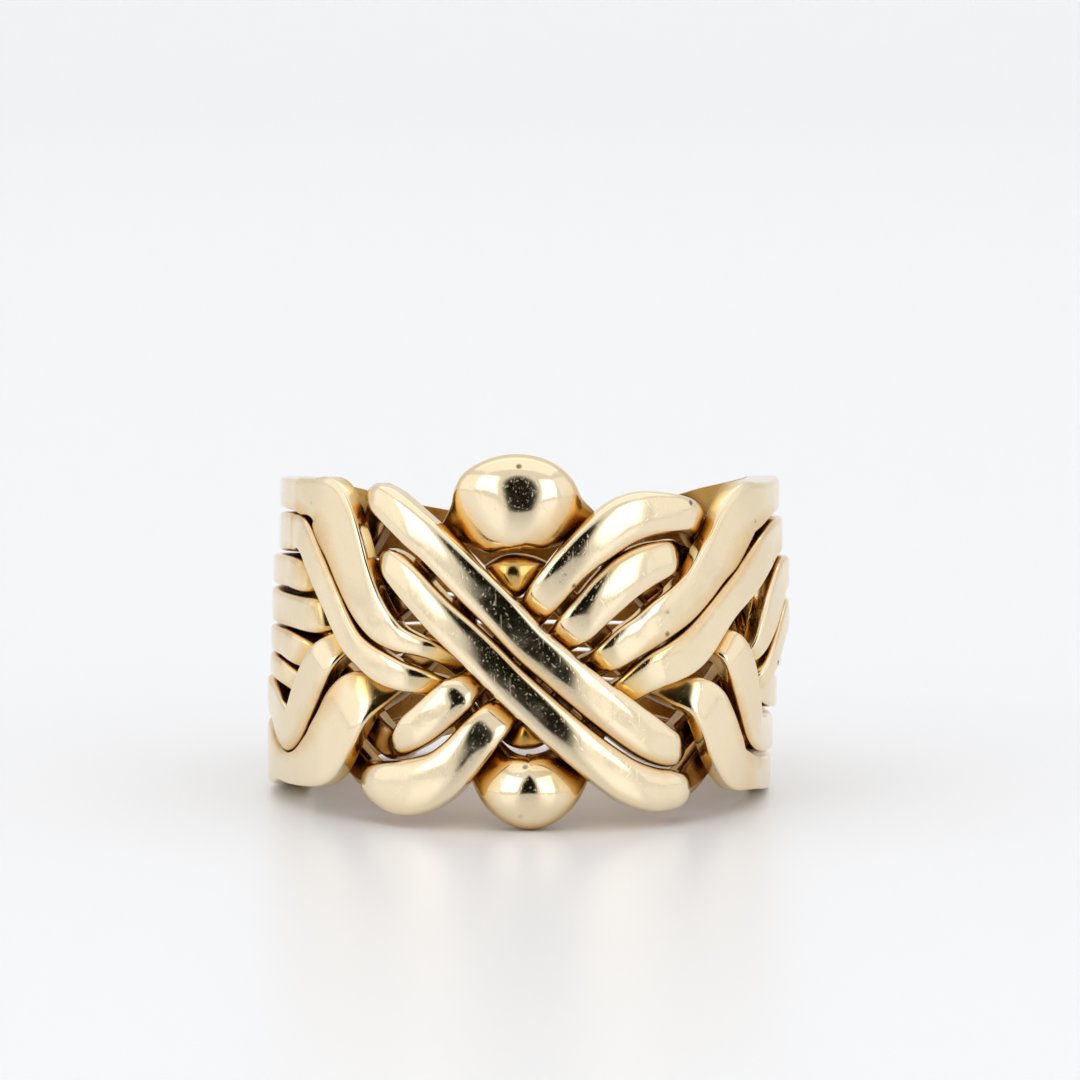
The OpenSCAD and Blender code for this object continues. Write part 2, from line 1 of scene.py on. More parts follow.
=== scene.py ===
import json
import bpy
import numpy as np
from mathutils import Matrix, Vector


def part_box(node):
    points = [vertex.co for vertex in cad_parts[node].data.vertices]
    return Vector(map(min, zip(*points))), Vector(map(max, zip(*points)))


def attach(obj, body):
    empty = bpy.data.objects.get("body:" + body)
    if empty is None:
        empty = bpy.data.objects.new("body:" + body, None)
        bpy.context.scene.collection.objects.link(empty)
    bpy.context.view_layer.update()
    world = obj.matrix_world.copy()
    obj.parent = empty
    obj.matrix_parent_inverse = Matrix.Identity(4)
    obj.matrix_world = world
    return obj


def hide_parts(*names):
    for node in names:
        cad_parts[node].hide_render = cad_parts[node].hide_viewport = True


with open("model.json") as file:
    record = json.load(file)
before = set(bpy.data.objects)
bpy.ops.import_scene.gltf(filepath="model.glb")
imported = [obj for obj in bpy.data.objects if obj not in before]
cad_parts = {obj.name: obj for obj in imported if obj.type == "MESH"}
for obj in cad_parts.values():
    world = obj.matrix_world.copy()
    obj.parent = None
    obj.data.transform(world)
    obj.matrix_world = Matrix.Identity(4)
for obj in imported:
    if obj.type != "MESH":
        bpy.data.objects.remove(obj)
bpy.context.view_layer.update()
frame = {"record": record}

# The metal of the whole ring: cast 14 carat yellow gold, filed and polished by hand.
# Wear has left fine scratches on the high faces, and casting pits show as dark specks.
# Between the strands, where polishing never reached, the gold is duller, and its colour is painted browner
# there: painted shade of the knot's recesses and the painted amber of gold reflecting gold.


class Wire:
    """A shader socket on which the sum, product and other operators add Math nodes."""

    def __init__(self, sheet, socket):
        self.sheet = sheet
        self.socket = socket

    def _math(self, operation, first, second, clamp=False):
        return self.sheet.node("ShaderNodeMath", {"operation": operation, "use_clamp": clamp},
                               {0: first, 1: second})[0]

    def __add__(self, other):
        return self._math("ADD", self, other)

    __radd__ = __add__

    def __mul__(self, other):
        return self._math("MULTIPLY", self, other)

    __rmul__ = __mul__

    def __sub__(self, other):
        return self._math("SUBTRACT", self, other)

    def __rsub__(self, other):
        return self._math("SUBTRACT", other, self)

    def __truediv__(self, other):
        return self._math("DIVIDE", self, other)

    def clamped(self):
        """The value kept between 0 and 1."""
        return self._math("ADD", self, 0.0, clamp=True)


class Sheet:
    """A material's node tree. node() adds one node and gives its output sockets as Wires."""

    def __init__(self, name):
        self.material = bpy.data.materials.new(name)
        self.material.use_nodes = True
        self.tree = self.material.node_tree
        self.tree.nodes.clear()

    def node(self, kind, settings, sockets):
        """One node of a kind, with its settings (a ramp's stops among them), then its sockets."""
        made = self.tree.nodes.new(kind)
        for key, value in settings.items():
            if key == "stops":
                ramp = made.color_ramp
                while len(ramp.elements) < len(value):
                    ramp.elements.new(0.5)
                for element, (place, colour) in zip(ramp.elements, value):
                    element.position = place
                    element.color = colour
            else:
                setattr(made, key, value)
        for key, value in sockets.items():
            if isinstance(value, Wire):
                self.tree.links.new(value.socket, made.inputs[key])
            else:
                made.inputs[key].default_value = value
        return [Wire(self, s) for s in made.outputs]

    def blend(self, share, low, high):
        """A colour that goes from low to high as share goes from 0 to 1."""
        return self.node("ShaderNodeMix", {"data_type": "RGBA"},
                         {0: share, 6: low, 7: high})[2]

    def spread(self, value, low, high):
        """A number that goes from 0 to 1 as value goes from low to high."""
        return ((value - low) / (high - low)).clamped()


def polished_gold():
    """Gold whose roughness goes with depth in the knot and whose colour carries painted shade there, with
    scratches and pits as a bump.
    """
    gold = Sheet("polished_gold")
    place = gold.node("ShaderNodeTexCoord", {}, {})[3]
    # Painted shade: one attribute darkens the colour with depth in the knot, the other where two bands all
    # but touch.
    buried = gold.node("ShaderNodeAttribute", {"attribute_name": "buried"}, {})[2]
    open_face = 1.0 - buried
    grime = gold.node("ShaderNodeAttribute", {"attribute_name": "grime"}, {})[2]

    # Clouds of tone about 4 mm across, and smears of the polishing wheel about 1 mm across.
    cloud = gold.node("ShaderNodeTexNoise", {}, {"Vector": place, "Scale": 260.0, "Detail": 3.0})[0]
    smear = gold.node("ShaderNodeTexNoise", {}, {"Vector": place, "Scale": 900.0, "Detail": 4.0})[0]

    # Short hairline scratches in four directions: noise drawn out along its first axis.
    scratches = 0.0
    strokes = (((0.3, 0.9, 0.4), 26.0, 17.0, 0.70), ((1.1, 0.2, 1.3), 20.0, 24.0, 0.70),
               ((0.7, 1.6, 2.2), 30.0, 15.0, 0.71), ((0.2, 2.3, 0.9), 24.0, 20.0, 0.70))
    for turn, length, scale, low in strokes:
        laid = gold.node("ShaderNodeMapping", {"vector_type": "TEXTURE"},
                         {"Vector": place, "Rotation": turn, "Scale": (1.0, 1 / length, 1 / length)})[0]
        streak = gold.node("ShaderNodeTexNoise", {}, {"Vector": laid, "Scale": scale * 20, "Detail": 1.0})[0]
        line = gold.spread(streak, low, low + 0.05)
        scratches = line + scratches
    scratches = (scratches * open_face).clamped()

    # Casting pits: the middles of a few cells 1.4 mm across.
    cells = gold.node("ShaderNodeTexVoronoi", {}, {"Vector": place, "Scale": 700.0})[0]
    chosen = gold.node("ShaderNodeTexNoise", {}, {"Vector": place, "Scale": 300.0, "Detail": 1.0})[0]
    pits = (1.0 - gold.spread(cells, 0.05, 0.12)) * gold.spread(chosen, 0.60, 0.66)

    # Painted shade: pale on the outside, then amber, brown and dark brown with depth in the knot and near the
    # touches of other bands.
    stops = ((0.0, (0.885, 0.75, 0.53, 1)), (0.30, (0.84, 0.58, 0.20, 1)),
             (0.65, (0.46, 0.235, 0.032, 1)), (1.0, (0.20, 0.08, 0.008, 1)))
    tone = gold.node("ShaderNodeValToRGB", {"stops": stops}, {"Fac": buried})[0]
    tone = gold.blend(gold.spread(cloud, 0.35, 0.75) * 0.35, tone, (0.87, 0.70, 0.44, 1))
    # Painted shade near the touches of other bands, mottled by the clouds of tone: first amber, then dark
    # brown.
    mottled_shade = grime + 0.25 * (cloud - 0.5)
    tone = gold.blend(gold.spread(mottled_shade, 0.50, 0.88) * 0.85, tone, (0.68, 0.38, 0.085, 1))
    tone = gold.blend(gold.spread(mottled_shade, 0.76, 1.0) * 0.95, tone, (0.11, 0.045, 0.007, 1))
    tone = gold.blend(pits * 0.85, tone, (0.10, 0.05, 0.02, 1))

    dull = 0.10 + 0.10 * gold.spread(smear, 0.45, 0.7) + 0.12 * buried + 0.15 * gold.spread(mottled_shade, 0.7, 1.0)
    dull = dull + 0.10 * scratches + 0.3 * pits
    height = smear * 0.25 - scratches * 0.4 - pits * 1.5
    # The slow waves that hand filing leaves, about 4 mm long, under the fine relief.
    hand = gold.node("ShaderNodeTexNoise", {}, {"Vector": place, "Scale": 230.0, "Detail": 0.0})[0]
    waves = gold.node("ShaderNodeBump", {}, {"Strength": 1.0, "Distance": 0.00014, "Height": hand})[0]
    relief = gold.node("ShaderNodeBump", {}, {"Strength": 0.35, "Distance": 0.00002, "Height": height,
                                              "Normal": waves})[0]
    shader = gold.node("ShaderNodeBsdfPrincipled", {},
                       {"Base Color": tone, "Metallic": 1.0, "Roughness": dull.clamped(),
                        "Normal": relief})[0]
    gold.node("ShaderNodeOutputMaterial", {}, {"Surface": shader})
    return gold.material


gold = polished_gold()

# The two V bands. Each is one closed loop of gold that runs over both shoulders of the knot
# and dips below it in a round boss at the bottom. They are cast, then threaded through the others.
# Sizes are in millimetres from the middle of the finger hole, and every band's table counts in them.

HOLE = 9.9
WALL = 2.1
HALF = 7.2
PITCH = 1.8
PLAY = 0.1
TRIM = -0.08


def closed_run(place, run):
    """A band's rows all the way round: its table across the front, and behind it a stack of eight
    bands side by side that narrows, with the smooth step 3t^2 - 2t^3, from the shoulders to the back.
    """
    bands, narrow, thick, slit, shoulder = 8, 5.0, 1.35, 0.15, 92
    shoulder_share = 0.75
    behind = np.array([125.0, 150.0, 180.0, 225.0])
    turned = np.where(behind > 180, 360 - behind, behind)
    share = (180 - turned) / (180 - shoulder)
    stack = narrow + (HALF - narrow) * share ** 2 * (3 - 2 * share)
    there = 1 - (stack - narrow) / (HALF - narrow)
    rows = np.stack([behind, (1 - (2 * place + 1) / bands) * stack / HALF,
                     (2 * stack / bands - slit * there + PLAY) / PITCH, np.full(4, TRIM),
                     shoulder_share + (thick / WALL - shoulder_share) * there, np.ones(4)], 1)
    front = rows[::-1] * [-1, 1, 1, 1, 1, 1]
    return np.concatenate([front, np.array(run, float), rows])


def along_run(rows, azimuth):
    """Every column at each azimuth, on cubic curves through the rows, whose slope at a row is that
    of the line from the row before it to the row after it.
    """
    k = np.clip(np.searchsorted(rows[:, 0], azimuth, side="right") - 1, 1, len(rows) - 3)
    gap = rows[k + 1, 0] - rows[k, 0]
    t = ((azimuth - rows[k, 0]) / gap)[:, None]
    before = (rows[k + 1] - rows[k - 1]) / (rows[k + 1, 0] - rows[k - 1, 0])[:, None]
    after = (rows[k + 2] - rows[k]) / (rows[k + 2, 0] - rows[k, 0])[:, None]
    return (rows[k] * (1 + 2 * t) * (1 - t) ** 2 + rows[k + 1] * t ** 2 * (3 - 2 * t)
            + gap[:, None] * (before * t * (1 - t) ** 2 - after * t ** 2 * (1 - t)))


def middle_line(rows, azimuth):
    """Middle of the section: half way between its faces, out from the axis of the finger hole."""
    row = along_run(rows, azimuth)
    turn = np.radians(azimuth)
    radius = HOLE + WALL * (row[:, 3] + row[:, 4]) / 2
    return np.stack([np.sin(turn) * radius, -np.cos(turn) * radius, HALF * row[:, 1]], 1)


def band_sections(place, run, azimuth):
    """The section at each azimuth: its middle, the direction across the run, the direction out of the
    ring, half its width and half its thickness, and how square it is. The run's own direction is
    that of the line between the middles a little before and after.
    """
    ahead = 2.5
    facet = np.radians(15)
    rows = closed_run(place, run)
    row = along_run(rows, azimuth)
    middle = middle_line(rows, azimuth)
    along = middle_line(rows, azimuth + ahead) - middle_line(rows, azimuth - ahead)
    along /= np.linalg.norm(along, axis=1, keepdims=True)
    turn = np.radians(azimuth)
    radial = np.stack([np.sin(turn), -np.cos(turn), np.zeros_like(turn)], 1)
    out = radial - along * np.sum(radial * along, 1, keepdims=True)
    out /= np.linalg.norm(out, axis=1, keepdims=True)
    square = np.clip(row[:, 5], 0, 1)
    fit = np.cos(facet) ** (2 / (2 + 3 * square))
    half_width = (PITCH * row[:, 2] - PLAY) / 2 * fit
    half_thick = (WALL * (row[:, 4] - row[:, 3]) - PLAY) / 2 * fit
    return middle, np.cross(along, out), out, half_width, half_thick, square


def band_surface(place, run):
    """A closed tube. At each azimuth stands a superellipse whose power goes from 1, an ellipse, to
    0.25, an oblong with filed edges. It stands across the run, and where it would reach into the
    finger hole it is pushed out to the wall of the hole.
    """
    around = 40
    azimuth = np.concatenate([np.arange(-92.0, 92.0, 0.6), np.arange(92.0, 268.0, 1.6)])
    azimuth = np.where(azimuth > 180, azimuth - 360, azimuth)
    middle, across, out, half_width, half_thick, square = band_sections(place, run, azimuth)
    power = (2 / (2 + 6 * square ** 1.3))[:, None]
    angle = 2 * np.pi * (np.arange(around) + 0.5) / around
    wide = half_width[:, None] * np.sign(np.cos(angle)) * np.abs(np.cos(angle)) ** power
    deep = half_thick[:, None] * np.sign(np.sin(angle)) * np.abs(np.sin(angle)) ** power
    points = middle[:, None] + across[:, None] * wide[..., None] + out[:, None] * deep[..., None]
    radius = np.linalg.norm(points[..., :2], axis=2, keepdims=True)
    points[..., :2] *= np.maximum(radius, HOLE) / radius
    return points


def band_piece(name, node, place, run):
    """The tube as a mesh, leaned and set down as the ring lies, in metres, inside the node's own box.
    Its attribute of painted shade goes from 0 on the outer faces to 1 at a depth of deep_radius in the knot,
    and on the wall of the finger hole it is the fixed painted shade set for that wall.
    """
    outer_radius, deep_radius = 11.75, 10.65
    # The last of these is the painted shade laid on the wall of the finger hole.
    knot_edge, hole_shade = 66, 0.62
    points = band_surface(place, run)
    rings, around = points.shape[:2]
    hole = frame["record"]["mounts"][0]
    lean = np.arctan2(hole["axis"][1], hole["axis"][2])
    leaned = np.stack([points[..., 0], points[..., 1] * np.cos(lean) + points[..., 2] * np.sin(lean),
                       points[..., 2] * np.cos(lean) - points[..., 1] * np.sin(lean)], -1)
    low, high = [np.array(corner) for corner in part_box(node)]
    placed = np.clip((leaned * 0.001 + np.array(hole["pos_m"])).reshape(-1, 3), low, high)
    ring, side = np.meshgrid(np.arange(rings), np.arange(around), indexing="ij")
    next_ring, next_side = (ring + 1) % rings, (side + 1) % around
    faces = np.stack([ring * around + side, next_ring * around + side,
                      next_ring * around + next_side, ring * around + next_side], -1).reshape(-1, 4)
    mesh = bpy.data.meshes.new(name)
    mesh.from_pydata(placed, [], faces.tolist())
    mesh.polygons.foreach_set("use_smooth", np.ones(len(faces), bool))
    radius = np.linalg.norm(points[..., :2], axis=2)
    azimuth = np.degrees(np.arctan2(points[..., 0], -points[..., 1]))
    # Painted shade: the colour darkens with depth in the front of the knot, and is fixed on the wall of the
    # finger hole.
    knot = np.clip((knot_edge - np.abs(azimuth)) / 8, 0, 1)
    deep = knot * np.clip((outer_radius - radius) / (outer_radius - deep_radius), 0, 1)
    deep = np.where(radius < HOLE + 0.05, hole_shade, deep)
    mesh.attributes.new("buried", "FLOAT", "POINT").data.foreach_set("value", deep.astype(np.float32).ravel())
    mesh.materials.append(gold)
    piece = bpy.data.objects.new(name, mesh)
    bpy.context.scene.collection.objects.link(piece)
    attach(piece, "root")
    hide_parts(node)
    sections = band_sections(place, run, np.arange(-180.0, 180.0, 1.8))
    size = np.linalg.norm(points - points.mean(1, keepdims=True), axis=2).mean(1).repeat(around)
    laid_bands.append((mesh, points.reshape(-1, 3).astype(np.float32), size,
                       [part.astype(np.float32) for part in sections]))


laid_bands = []
vee_small_run = [
    [-92, 0.88, 0.86, TRIM, 0.70, 1.0],
    [-68, 0.885, 0.86, TRIM, 0.88, 1.0],
    [-59, 0.872, 1.02, TRIM, 1.00, 1.0],
    [-54, 0.862, 1.09, 0.42, 1.00, 1.0],
    [-50, 0.825, 1.60, 0.50, 1.00, 0.9],
    [-47, 0.70, 1.62, 0.50, 1.00, 0.9],
    [-44.3, 0.565, 1.44, 0.50, 1.00, 0.8],
    [-41.8, 0.41, 1.28, 0.50, 1.00, 0.7],
    [-38.9, 0.26, 1.16, 0.50, 1.00, 0.6],
    [-36.4, 0.16, 1.07, 0.50, 1.00, 0.5],
    [-33.5, 0.08, 0.95, 0.50, 1.00, 0.5],
    [-30, 0.015, 0.76, 0.48, 0.96, 0.4],
    [-26, -0.02, 0.62, 0.46, 0.92, 0.3],
    [-23, -0.045, 0.56, 0.46, 0.86, 0.3],
    [-20.5, -0.08, 0.54, 0.32, 0.70, 0.3],
    [-18, -0.125, 0.59, 0.05, 0.50, 0.3],
    [-15, -0.205, 0.57, TRIM, 0.34, 0.3],
    [-11, -0.35, 0.57, TRIM, 0.31, 0.3],
    [-7, -0.48, 0.67, TRIM, 0.34, 0.3],
    [-4, -0.545, 0.81, TRIM, 0.42, 0.3],
    [-1, -0.575, 0.78, TRIM, 0.60, 0.2],
    [2, -0.545, 0.83, TRIM, 0.50, 0.3],
    [6, -0.43, 0.78, TRIM, 0.42, 0.3],
    [10, -0.29, 0.78, TRIM, 0.42, 0.3],
    [14, -0.175, 0.83, TRIM, 0.46, 0.3],
    [16, -0.13, 0.76, 0.24, 0.66, 0.3],
    [18, -0.09, 0.85, 0.42, 0.86, 0.3],
    [22, -0.01, 1.00, 0.47, 0.93, 0.4],
    [26, 0.055, 1.05, 0.48, 0.96, 0.4],
    [30, 0.135, 1.12, 0.50, 1.00, 0.5],
    [35, 0.225, 1.12, 0.50, 1.00, 0.7],
    [39.6, 0.335, 1.12, 0.50, 1.00, 0.8],
    [43.4, 0.455, 1.24, 0.50, 1.00, 0.9],
    [47.2, 0.56, 1.42, 0.50, 1.00, 0.9],
    [51, 0.697, 1.53, 0.50, 1.00, 0.9],
    [54.5, 0.785, 1.50, 0.42, 1.00, 1.0],
    [60, 0.815, 1.26, 0.15, 0.98, 1.0],
    [68, 0.85, 0.98, TRIM, 0.90, 1.0],
    [78, 0.87, 0.90, TRIM, 0.80, 1.0],
    [92, 0.88, 0.90, TRIM, 0.70, 1.0],
]
band_piece("vee_small_strand", "vee_band_small", 0, vee_small_run)

vee_big_run = [
    [-92, 0.63, 1.05, TRIM, 0.72, 1.0],
    [-70, 0.65, 1.03, TRIM, 0.85, 1.0],
    [-64, 0.645, 1.00, TRIM, 0.93, 1.0],
    [-60, 0.635, 0.94, 0.38, 0.98, 0.9],
    [-57, 0.582, 0.88, 0.50, 1.00, 0.9],
    [-54.5, 0.483, 0.88, 0.50, 1.00, 0.8],
    [-51.3, 0.355, 0.85, 0.50, 1.00, 0.8],
    [-48, 0.22, 0.80, 0.50, 1.00, 0.7],
    [-45.3, 0.10, 0.78, 0.50, 1.00, 0.6],
    [-42.3, -0.01, 0.78, 0.50, 1.00, 0.6],
    [-39, -0.085, 0.80, 0.50, 1.00, 0.5],
    [-34, -0.165, 0.87, 0.50, 1.00, 0.5],
    [-29.5, -0.215, 0.82, 0.48, 0.97, 0.4],
    [-26, -0.24, 0.74, 0.44, 0.88, 0.3],
    [-23, -0.265, 0.66, 0.26, 0.70, 0.3],
    [-20.8, -0.305, 0.73, TRIM, 0.50, 0.3],
    [-18.5, -0.36, 0.74, TRIM, 0.44, 0.3],
    [-16, -0.455, 0.79, TRIM, 0.40, 0.3],
    [-12, -0.64, 1.02, TRIM, 0.44, 0.3],
    [-9, -0.762, 1.32, TRIM, 0.62, 0.2],
    [-5, -0.862, 1.72, 0.02, 0.95, 0.1],
    [0, -0.915, 1.98, 0.02, 1.12, 0.0],
    [5, -0.86, 1.76, 0.02, 0.95, 0.1],
    [9, -0.77, 1.36, TRIM, 0.60, 0.2],
    [12.5, -0.65, 1.00, TRIM, 0.44, 0.3],
    [16, -0.52, 0.83, TRIM, 0.42, 0.3],
    [20, -0.385, 0.85, TRIM, 0.50, 0.3],
    [24, -0.275, 0.85, 0.30, 0.78, 0.3],
    [28.5, -0.185, 1.00, 0.46, 0.96, 0.4],
    [33, -0.13, 1.08, 0.50, 1.00, 0.5],
    [37, -0.075, 1.15, 0.50, 1.00, 0.5],
    [40, -0.01, 1.12, 0.50, 1.00, 0.6],
    [44.5, 0.115, 1.02, 0.50, 1.00, 0.7],
    [48.5, 0.22, 0.98, 0.50, 1.00, 0.8],
    [53, 0.312, 1.04, 0.50, 1.00, 0.8],
    [57.5, 0.405, 1.13, 0.50, 1.00, 0.9],
    [63, 0.51, 1.12, 0.46, 1.00, 0.9],
    [69, 0.58, 1.06, 0.20, 0.95, 1.0],
    [76, 0.61, 1.00, TRIM, 0.88, 1.0],
    [92, 0.625, 0.94, TRIM, 0.78, 1.0],
]
band_piece("vee_big_strand", "vee_band_big", 1, vee_big_run)

# The two cross bands. Their round strands are the outermost of the knot and run side by side
# from the upper left to the lower right. At both ends they dive under the other bands.

cross_upper_run = [
    [-92, 0.40, 0.83, TRIM, 0.85, 1.0],
    [-68, 0.40, 0.86, TRIM, 0.95, 1.0],
    [-61.5, 0.38, 0.85, TRIM, 0.95, 0.95],
    [-59.4, 0.362, 0.72, TRIM, 0.66, 0.7],
    [-57.4, 0.362, 0.75, TRIM, 0.44, 0.4],
    [-51, 0.44, 0.85, TRIM, 0.44, 0.4],
    [-46, 0.56, 0.83, TRIM, 0.44, 0.4],
    [-41, 0.71, 0.83, TRIM, 0.44, 0.4],
    [-39, 0.80, 0.85, TRIM, 0.50, 0.3],
    [-36.8, 0.855, 0.80, 0.10, 0.82, 0.2],
    [-34.4, 0.865, 0.90, 0.38, 1.06, 0.2],
    [-31, 0.82, 1.00, 0.48, 1.15, 0.3],
    [-25, 0.69, 1.05, 0.52, 1.20, 0.4],
    [-20, 0.575, 1.04, 0.52, 1.22, 0.4],
    [-12, 0.35, 1.09, 0.52, 1.22, 0.4],
    [-6, 0.18, 1.09, 0.54, 1.22, 0.4],
    [0, -0.005, 1.08, 0.56, 1.22, 0.4],
    [5, -0.13, 1.08, 0.56, 1.22, 0.4],
    [9, -0.23, 1.10, 0.54, 1.22, 0.4],
    [17, -0.41, 1.16, 0.52, 1.20, 0.4],
    [24, -0.55, 1.20, 0.52, 1.18, 0.4],
    [28.5, -0.625, 1.12, 0.50, 1.15, 0.35],
    [32, -0.66, 1.00, 0.40, 1.05, 0.3],
    [35, -0.66, 0.86, 0.12, 0.78, 0.2],
    [38, -0.62, 0.87, TRIM, 0.50, 0.3],
    [42, -0.55, 0.85, TRIM, 0.44, 0.4],
    [48, -0.42, 0.85, TRIM, 0.44, 0.4],
    [54, -0.305, 0.75, TRIM, 0.44, 0.4],
    [58.5, -0.205, 0.60, TRIM, 0.46, 0.4],
    [60.3, -0.14, 0.56, 0.32, 0.68, 0.5],
    [62, -0.065, 0.66, 0.45, 0.92, 0.6],
    [65.3, 0.075, 0.96, 0.50, 1.00, 0.7],
    [69, 0.205, 1.12, 0.50, 1.00, 0.8],
    [74, 0.33, 1.08, 0.45, 1.00, 0.9],
    [80, 0.38, 0.92, 0.10, 1.00, 1.0],
    [92, 0.38, 0.89, TRIM, 0.90, 1.0],
]
band_piece("cross_upper_strand", "cross_band_upper", 2, cross_upper_run)

cross_lower_run = [
    [-92, 0.18, 0.95, TRIM, 0.88, 1.0],
    [-68, 0.158, 0.93, TRIM, 0.95, 1.0],
    [-56, 0.135, 0.95, TRIM, 0.95, 0.9],
    [-54, 0.135, 0.92, TRIM, 0.80, 0.7],
    [-51.6, 0.15, 0.86, TRIM, 0.48, 0.4],
    [-47, 0.19, 0.72, TRIM, 0.44, 0.4],
    [-42, 0.27, 0.67, TRIM, 0.44, 0.4],
    [-38, 0.35, 0.69, TRIM, 0.44, 0.4],
    [-35.8, 0.425, 0.79, TRIM, 0.48, 0.3],
    [-33.6, 0.475, 0.72, 0.20, 0.80, 0.2],
    [-31.7, 0.475, 0.82, 0.40, 1.02, 0.2],
    [-29.5, 0.44, 0.93, 0.47, 1.13, 0.3],
    [-26, 0.35, 0.97, 0.50, 1.18, 0.4],
    [-22.5, 0.25, 0.99, 0.52, 1.20, 0.4],
    [-18.5, 0.14, 1.02, 0.54, 1.22, 0.4],
    [-14, 0.025, 1.06, 0.58, 1.22, 0.4],
    [-9, -0.11, 1.06, 0.58, 1.22, 0.4],
    [-4, -0.255, 1.06, 0.58, 1.22, 0.4],
    [2, -0.415, 1.08, 0.54, 1.22, 0.4],
    [8, -0.57, 1.10, 0.52, 1.22, 0.4],
    [14.5, -0.72, 1.13, 0.52, 1.20, 0.4],
    [21, -0.845, 1.18, 0.52, 1.18, 0.4],
    [27, -0.905, 1.18, 0.50, 1.15, 0.35],
    [31.5, -0.915, 1.10, 0.48, 1.10, 0.3],
    [35, -0.915, 0.96, 0.32, 0.98, 0.2],
    [38, -0.905, 0.80, TRIM, 0.62, 0.2],
    [42, -0.86, 0.85, TRIM, 0.45, 0.4],
    [48, -0.73, 0.85, TRIM, 0.44, 0.4],
    [54, -0.565, 0.79, TRIM, 0.44, 0.4],
    [59.5, -0.405, 0.62, TRIM, 0.44, 0.4],
    [62.5, -0.315, 0.54, 0.12, 0.60, 0.5],
    [64.5, -0.25, 0.58, 0.45, 0.95, 0.6],
    [67, -0.18, 0.62, 0.50, 1.00, 0.7],
    [71, -0.07, 0.70, 0.50, 1.00, 0.8],
    [76, 0.055, 0.74, 0.50, 1.00, 0.9],
    [81, 0.12, 0.80, 0.30, 1.00, 1.0],
    [92, 0.13, 0.89, TRIM, 0.88, 1.0],
]
band_piece("cross_lower_strand", "cross_band_lower", 3, cross_lower_run)

# The two under bands. They rise from the lower left to the upper right, pass below the cross
# bands in the middle of the knot, and come out round on both sides of them.

under_upper_run = [
    [-92, -0.03, 0.70, TRIM, 0.90, 1.0],
    [-72, -0.042, 0.79, TRIM, 0.97, 1.0],
    [-64.5, -0.08, 0.86, TRIM, 0.92, 0.9],
    [-59.5, -0.14, 0.76, TRIM, 0.56, 0.5],
    [-52, -0.25, 0.83, TRIM, 0.44, 0.4],
    [-46, -0.42, 0.83, TRIM, 0.44, 0.4],
    [-40, -0.57, 0.83, TRIM, 0.44, 0.4],
    [-35.5, -0.645, 0.83, TRIM, 0.46, 0.3],
    [-32, -0.65, 0.74, 0.02, 0.62, 0.2],
    [-29, -0.61, 0.84, 0.30, 0.95, 0.2],
    [-26, -0.555, 1.00, 0.48, 1.10, 0.3],
    [-23, -0.495, 1.08, 0.50, 1.12, 0.3],
    [-19.5, -0.415, 1.08, 0.50, 1.12, 0.3],
    [-16, -0.325, 1.04, 0.50, 1.08, 0.3],
    [-14, -0.27, 0.86, 0.44, 0.92, 0.1],
    [-12, -0.21, 0.74, 0.36, 0.62, 0.2],
    [-10, -0.145, 0.78, 0.02, 0.46, 0.3],
    [-7.5, -0.07, 0.81, TRIM, 0.44, 0.3],
    [-4, 0.03, 0.81, TRIM, 0.44, 0.3],
    [-1.5, 0.105, 0.81, TRIM, 0.44, 0.3],
    [0, 0.155, 0.85, 0.02, 0.50, 0.3],
    [2, 0.23, 0.92, 0.34, 0.82, 0.3],
    [4.2, 0.315, 1.00, 0.45, 1.00, 0.3],
    [9, 0.475, 1.06, 0.50, 1.10, 0.3],
    [14, 0.605, 1.17, 0.52, 1.15, 0.3],
    [19.5, 0.72, 1.27, 0.52, 1.15, 0.3],
    [24, 0.77, 1.26, 0.52, 1.15, 0.3],
    [29, 0.785, 1.12, 0.52, 1.13, 0.3],
    [35.5, 0.775, 0.96, 0.46, 1.05, 0.3],
    [39.8, 0.745, 0.84, 0.28, 0.84, 0.3],
    [43, 0.70, 0.80, 0.02, 0.56, 0.3],
    [46.5, 0.635, 0.80, TRIM, 0.46, 0.4],
    [50, 0.57, 0.83, TRIM, 0.44, 0.4],
    [56, 0.44, 0.77, TRIM, 0.44, 0.4],
    [62, 0.26, 0.72, TRIM, 0.44, 0.4],
    [68, 0.07, 0.72, TRIM, 0.44, 0.4],
    [73, -0.05, 0.74, TRIM, 0.44, 0.6],
    [79, -0.12, 0.78, TRIM, 0.66, 0.9],
    [92, -0.125, 0.86, TRIM, 0.80, 1.0],
]
band_piece("under_upper_strand", "under_band_upper", 4, under_upper_run)

